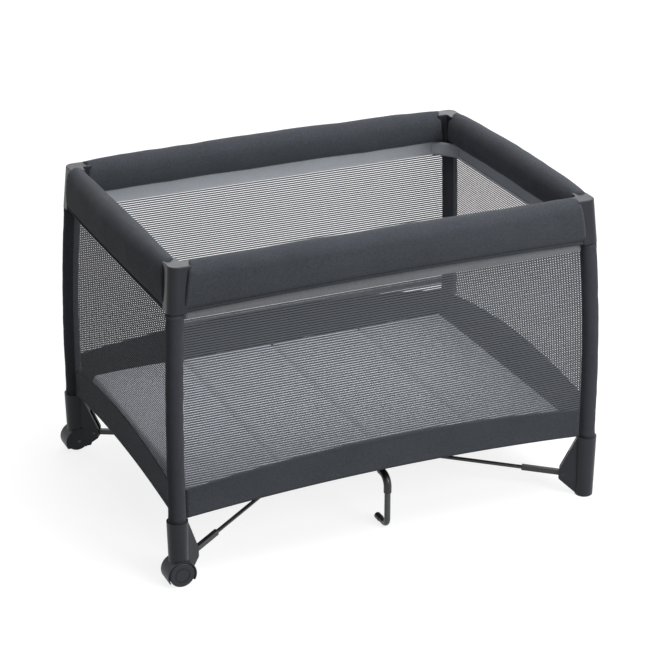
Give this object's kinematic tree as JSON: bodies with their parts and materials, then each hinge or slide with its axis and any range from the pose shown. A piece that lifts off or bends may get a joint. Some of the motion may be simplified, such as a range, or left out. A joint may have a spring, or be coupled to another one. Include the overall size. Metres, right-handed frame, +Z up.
{
  "type": "folding playpen",
  "caption": "Rectangular folding playpen with bowed corner posts, padded hinged rails, mesh walls, a centre hub with rods, wheels at one end and a folding padded mat.",
  "frame": {"origin": "on the floor under the centre hub, midway between the four corner posts", "axes": "+X along the long side, away from the wheeled end; +Z up; -Y is the front in the picture"},
  "size_m": [1.0605, 0.752, 0.735],
  "materials": {
    "tube_paint": "satin",
    "rod_paint": "satin",
    "pin_steel": "satin",
    "cap_plastic": "satin",
    "foot_plastic": "satin",
    "wheel_plastic": "satin",
    "hub_plastic": "matte",
    "lock_plastic": "matte",
    "sleeve_fabric": "woven",
    "rail_fabric": "woven",
    "band_fabric": "woven",
    "mesh_fabric": "open knit",
    "floor_fabric": "woven",
    "mat_fabric": "woven"
  },
  "bodies": {
    "post_fl": {"post_tube_front_left": "tube_paint", "post_sleeve_front_left": "sleeve_fabric", "corner_cap_front_left": "cap_plastic", "foot_front_left": "foot_plastic", "corner_pins_front_left": "pin_steel", "mesh_panel_front": "mesh_fabric", "lower_band_front": "band_fabric", "mesh_panel_left": "mesh_fabric", "lower_band_left": "band_fabric"},
    "post_fr": {"post_tube_front_right": "tube_paint", "post_sleeve_front_right": "sleeve_fabric", "corner_cap_front_right": "cap_plastic", "foot_front_right": "foot_plastic", "corner_pins_front_right": "pin_steel", "mesh_panel_right": "mesh_fabric", "lower_band_right": "band_fabric"},
    "post_br": {"post_tube_back_right": "tube_paint", "post_sleeve_back_right": "sleeve_fabric", "corner_cap_back_right": "cap_plastic", "foot_back_right": "foot_plastic", "corner_pins_back_right": "pin_steel"},
    "post_bl": {"post_tube_back_left": "tube_paint", "post_sleeve_back_left": "sleeve_fabric", "corner_cap_back_left": "cap_plastic", "foot_back_left": "foot_plastic", "corner_pins_back_left": "pin_steel", "mesh_panel_back": "mesh_fabric", "lower_band_back": "band_fabric"},
    "hub": {"hub": "hub_plastic", "hub_pins": "pin_steel", "floor_fabric": "floor_fabric"},
    "rod_fl": {"rod_front_left": "rod_paint"},
    "rod_fr": {"rod_front_right": "rod_paint"},
    "rod_br": {"rod_back_right": "rod_paint"},
    "rod_bl": {"rod_back_left": "rod_paint"},
    "rail_front_a": {"rail_tube_front_left": "tube_paint"},
    "rail_front_lock": {"rail_lock_front": "lock_plastic", "rail_cover_front": "rail_fabric"},
    "rail_front_b": {"rail_tube_front_right": "tube_paint"},
    "rail_back_a": {"rail_tube_back_left": "tube_paint"},
    "rail_back_lock": {"rail_lock_back": "lock_plastic", "rail_cover_back": "rail_fabric"},
    "rail_back_b": {"rail_tube_back_right": "tube_paint"},
    "rail_left_a": {"rail_tube_left_front": "tube_paint"},
    "rail_left_lock": {"rail_lock_left": "lock_plastic", "rail_cover_left": "rail_fabric"},
    "rail_left_b": {"rail_tube_left_back": "tube_paint"},
    "rail_right_a": {"rail_tube_right_front": "tube_paint"},
    "rail_right_lock": {"rail_lock_right": "lock_plastic", "rail_cover_right": "rail_fabric"},
    "rail_right_b": {"rail_tube_right_back": "tube_paint"},
    "leg_front": {"centre_leg_front": "rod_paint"},
    "leg_back": {"centre_leg_back": "rod_paint"},
    "wheel_fl": {"wheel_front_left": "wheel_plastic"},
    "wheel_bl": {"wheel_back_left": "wheel_plastic"},
    "mat_1": {"mat_panel_1": "mat_fabric"},
    "mat_2": {"mat_panel_2": "mat_fabric"},
    "mat_3": {"mat_panel_3": "mat_fabric"},
    "mat_4": {"mat_panel_4": "mat_fabric"}
  },
  "joints": [
    {"name": "fold", "type": "hinge", "parent": "post_fl", "child": "rod_fl", "pos_m": [-0.46229, -0.32503, 0.05], "axis": [0.5619, -0.8272, 0], "range_deg": [0, 76], "deforming": ["rail_cover_front", "rail_cover_back", "rail_cover_left", "rail_cover_right", "mesh_panel_front", "mesh_panel_back", "mesh_panel_left", "mesh_panel_right", "lower_band_front", "lower_band_back", "lower_band_left", "lower_band_right", "floor_fabric", "mat_panel_1", "mat_panel_2", "mat_panel_3", "mat_panel_4"]},
    {"name": "hub_lift", "type": "hinge", "parent": "rod_fl", "child": "hub", "pos_m": [-0.05, -0.045, 0.07786], "axis": [0.5619, -0.8272, 0], "range_deg": [-77, 0]},
    {"name": "rod_br_turn", "type": "hinge", "parent": "hub", "child": "rod_br", "pos_m": [0.05, 0.045, 0.07786], "axis": [0.5619, -0.8272, 0], "range_deg": [-77, 0]},
    {"name": "post_br_turn", "type": "hinge", "parent": "rod_br", "child": "post_br", "pos_m": [0.46229, 0.32503, 0.05], "axis": [0.5619, -0.8272, 0], "range_deg": [0, 77]},
    {"name": "rod_fr_turn", "type": "hinge", "parent": "hub", "child": "rod_fr", "pos_m": [0.05, -0.045, 0.07786], "axis": [-0.5619, -0.8272, 0], "range_deg": [-77, 0]},
    {"name": "post_fr_turn", "type": "hinge", "parent": "rod_fr", "child": "post_fr", "pos_m": [0.46229, -0.32503, 0.05], "axis": [-0.5619, -0.8272, 0], "range_deg": [0, 77]},
    {"name": "rod_bl_turn", "type": "hinge", "parent": "hub", "child": "rod_bl", "pos_m": [-0.05, 0.045, 0.07786], "axis": [0.5619, 0.8272, 0], "range_deg": [-77, 0]},
    {"name": "post_bl_turn", "type": "hinge", "parent": "rod_bl", "child": "post_bl", "pos_m": [-0.46229, 0.32503, 0.05], "axis": [0.5619, 0.8272, 0], "range_deg": [0, 77]},
    {"name": "rail_front_swing", "type": "hinge", "parent": "post_fl", "child": "rail_front_a", "pos_m": [-0.451, -0.335, 0.707], "axis": [0, 1, 0], "range_deg": [0, 77]},
    {"name": "rail_front_lock_turn", "type": "hinge", "parent": "rail_front_a", "child": "rail_front_lock", "pos_m": [-0.03871, -0.335, 0.68395], "axis": [0, 1, 0], "range_deg": [-77, 0]},
    {"name": "rail_front_far_turn", "type": "hinge", "parent": "rail_front_lock", "child": "rail_front_b", "pos_m": [0.03871, -0.335, 0.68395], "axis": [0, 1, 0], "range_deg": [-77, 0]},
    {"name": "rail_back_swing", "type": "hinge", "parent": "post_bl", "child": "rail_back_a", "pos_m": [-0.451, 0.335, 0.707], "axis": [0, 1, 0], "range_deg": [0, 77]},
    {"name": "rail_back_lock_turn", "type": "hinge", "parent": "rail_back_a", "child": "rail_back_lock", "pos_m": [-0.03871, 0.335, 0.68395], "axis": [0, 1, 0], "range_deg": [-77, 0]},
    {"name": "rail_back_far_turn", "type": "hinge", "parent": "rail_back_lock", "child": "rail_back_b", "pos_m": [0.03871, 0.335, 0.68395], "axis": [0, 1, 0], "range_deg": [-77, 0]},
    {"name": "rail_left_swing", "type": "hinge", "parent": "post_fl", "child": "rail_left_a", "pos_m": [-0.485, -0.301, 0.704], "axis": [-1, 0, 0], "range_deg": [0, 77]},
    {"name": "rail_left_lock_turn", "type": "hinge", "parent": "rail_left_a", "child": "rail_left_lock", "pos_m": [-0.485, -0.02097, 0.68834], "axis": [-1, 0, 0], "range_deg": [-77, 0]},
    {"name": "rail_left_far_turn", "type": "hinge", "parent": "rail_left_lock", "child": "rail_left_b", "pos_m": [-0.485, 0.02097, 0.68834], "axis": [-1, 0, 0], "range_deg": [-77, 0]},
    {"name": "rail_right_swing", "type": "hinge", "parent": "post_fr", "child": "rail_right_a", "pos_m": [0.485, -0.301, 0.704], "axis": [-1, 0, 0], "range_deg": [0, 77]},
    {"name": "rail_right_lock_turn", "type": "hinge", "parent": "rail_right_a", "child": "rail_right_lock", "pos_m": [0.485, -0.02097, 0.68834], "axis": [-1, 0, 0], "range_deg": [-77, 0]},
    {"name": "rail_right_far_turn", "type": "hinge", "parent": "rail_right_lock", "child": "rail_right_b", "pos_m": [0.485, 0.02097, 0.68834], "axis": [-1, 0, 0], "range_deg": [-77, 0]},
    {"name": "leg_front_turn", "type": "hinge", "parent": "hub", "child": "leg_front", "pos_m": [0.012, -0.044, 0.13], "axis": [1, 0, 0], "range_deg": [0, 86]},
    {"name": "leg_back_turn", "type": "hinge", "parent": "hub", "child": "leg_back", "pos_m": [-0.012, 0.044, 0.13], "axis": [-1, 0, 0], "range_deg": [0, 86]},
    {"name": "mat_lift", "type": "slide", "parent": "hub", "child": "mat_2", "axis": [0.6831, 0, 0.7303], "range_m": [0, 0.17373]},
    {"name": "mat_3_turn", "type": "hinge", "parent": "mat_2", "child": "mat_3", "pos_m": [0, 0, 0.2045], "axis": [0, -1, 0], "range_deg": [0, 182]},
    {"name": "mat_4_turn", "type": "hinge", "parent": "mat_3", "child": "mat_4", "pos_m": [0.235, 0, 0.1761], "axis": [0, -1, 0], "range_deg": [-182, 0]},
    {"name": "mat_1_turn", "type": "hinge", "parent": "mat_2", "child": "mat_1", "pos_m": [-0.235, 0, 0.1761], "axis": [0, -1, 0], "range_deg": [0, 182]},
    {"name": "wheel_fl_roll", "type": "hinge", "parent": "post_fl", "child": "wheel_fl", "pos_m": [-0.502, -0.352, 0.0285], "axis": [0, 1, 0], "continuous": true},
    {"name": "wheel_bl_roll", "type": "hinge", "parent": "post_bl", "child": "wheel_bl", "pos_m": [-0.502, 0.352, 0.0285], "axis": [0, 1, 0], "continuous": true}
  ],
  "couplings": [
    {"joint": "hub_lift", "follows": "fold", "ratio": -1},
    {"joint": "rod_br_turn", "follows": "fold", "ratio": -1},
    {"joint": "post_br_turn", "follows": "fold", "ratio": 1},
    {"joint": "rod_fr_turn", "follows": "fold", "ratio": -1},
    {"joint": "post_fr_turn", "follows": "fold", "ratio": 1},
    {"joint": "rod_bl_turn", "follows": "fold", "ratio": -1},
    {"joint": "post_bl_turn", "follows": "fold", "ratio": 1},
    {"joint": "rail_front_swing", "follows": "fold", "ratio": 1},
    {"joint": "rail_front_lock_turn", "follows": "fold", "ratio": -1},
    {"joint": "rail_front_far_turn", "follows": "fold", "ratio": -1},
    {"joint": "rail_back_swing", "follows": "fold", "ratio": 1},
    {"joint": "rail_back_lock_turn", "follows": "fold", "ratio": -1},
    {"joint": "rail_back_far_turn", "follows": "fold", "ratio": -1},
    {"joint": "rail_left_swing", "follows": "fold", "ratio": 1},
    {"joint": "rail_left_lock_turn", "follows": "fold", "ratio": -1},
    {"joint": "rail_left_far_turn", "follows": "fold", "ratio": -1},
    {"joint": "rail_right_swing", "follows": "fold", "ratio": 1},
    {"joint": "rail_right_lock_turn", "follows": "fold", "ratio": -1},
    {"joint": "rail_right_far_turn", "follows": "fold", "ratio": -1},
    {"joint": "leg_front_turn", "follows": "fold", "ratio": 1.12},
    {"joint": "leg_back_turn", "follows": "fold", "ratio": 1.12},
    {"joint": "mat_lift", "follows": "fold", "m_per_rad": 0.12968},
    {"joint": "mat_3_turn", "follows": "fold", "ratio": 2.3684},
    {"joint": "mat_4_turn", "follows": "fold", "ratio": -2.3684},
    {"joint": "mat_1_turn", "follows": "fold", "ratio": 2.3684}
  ]
}
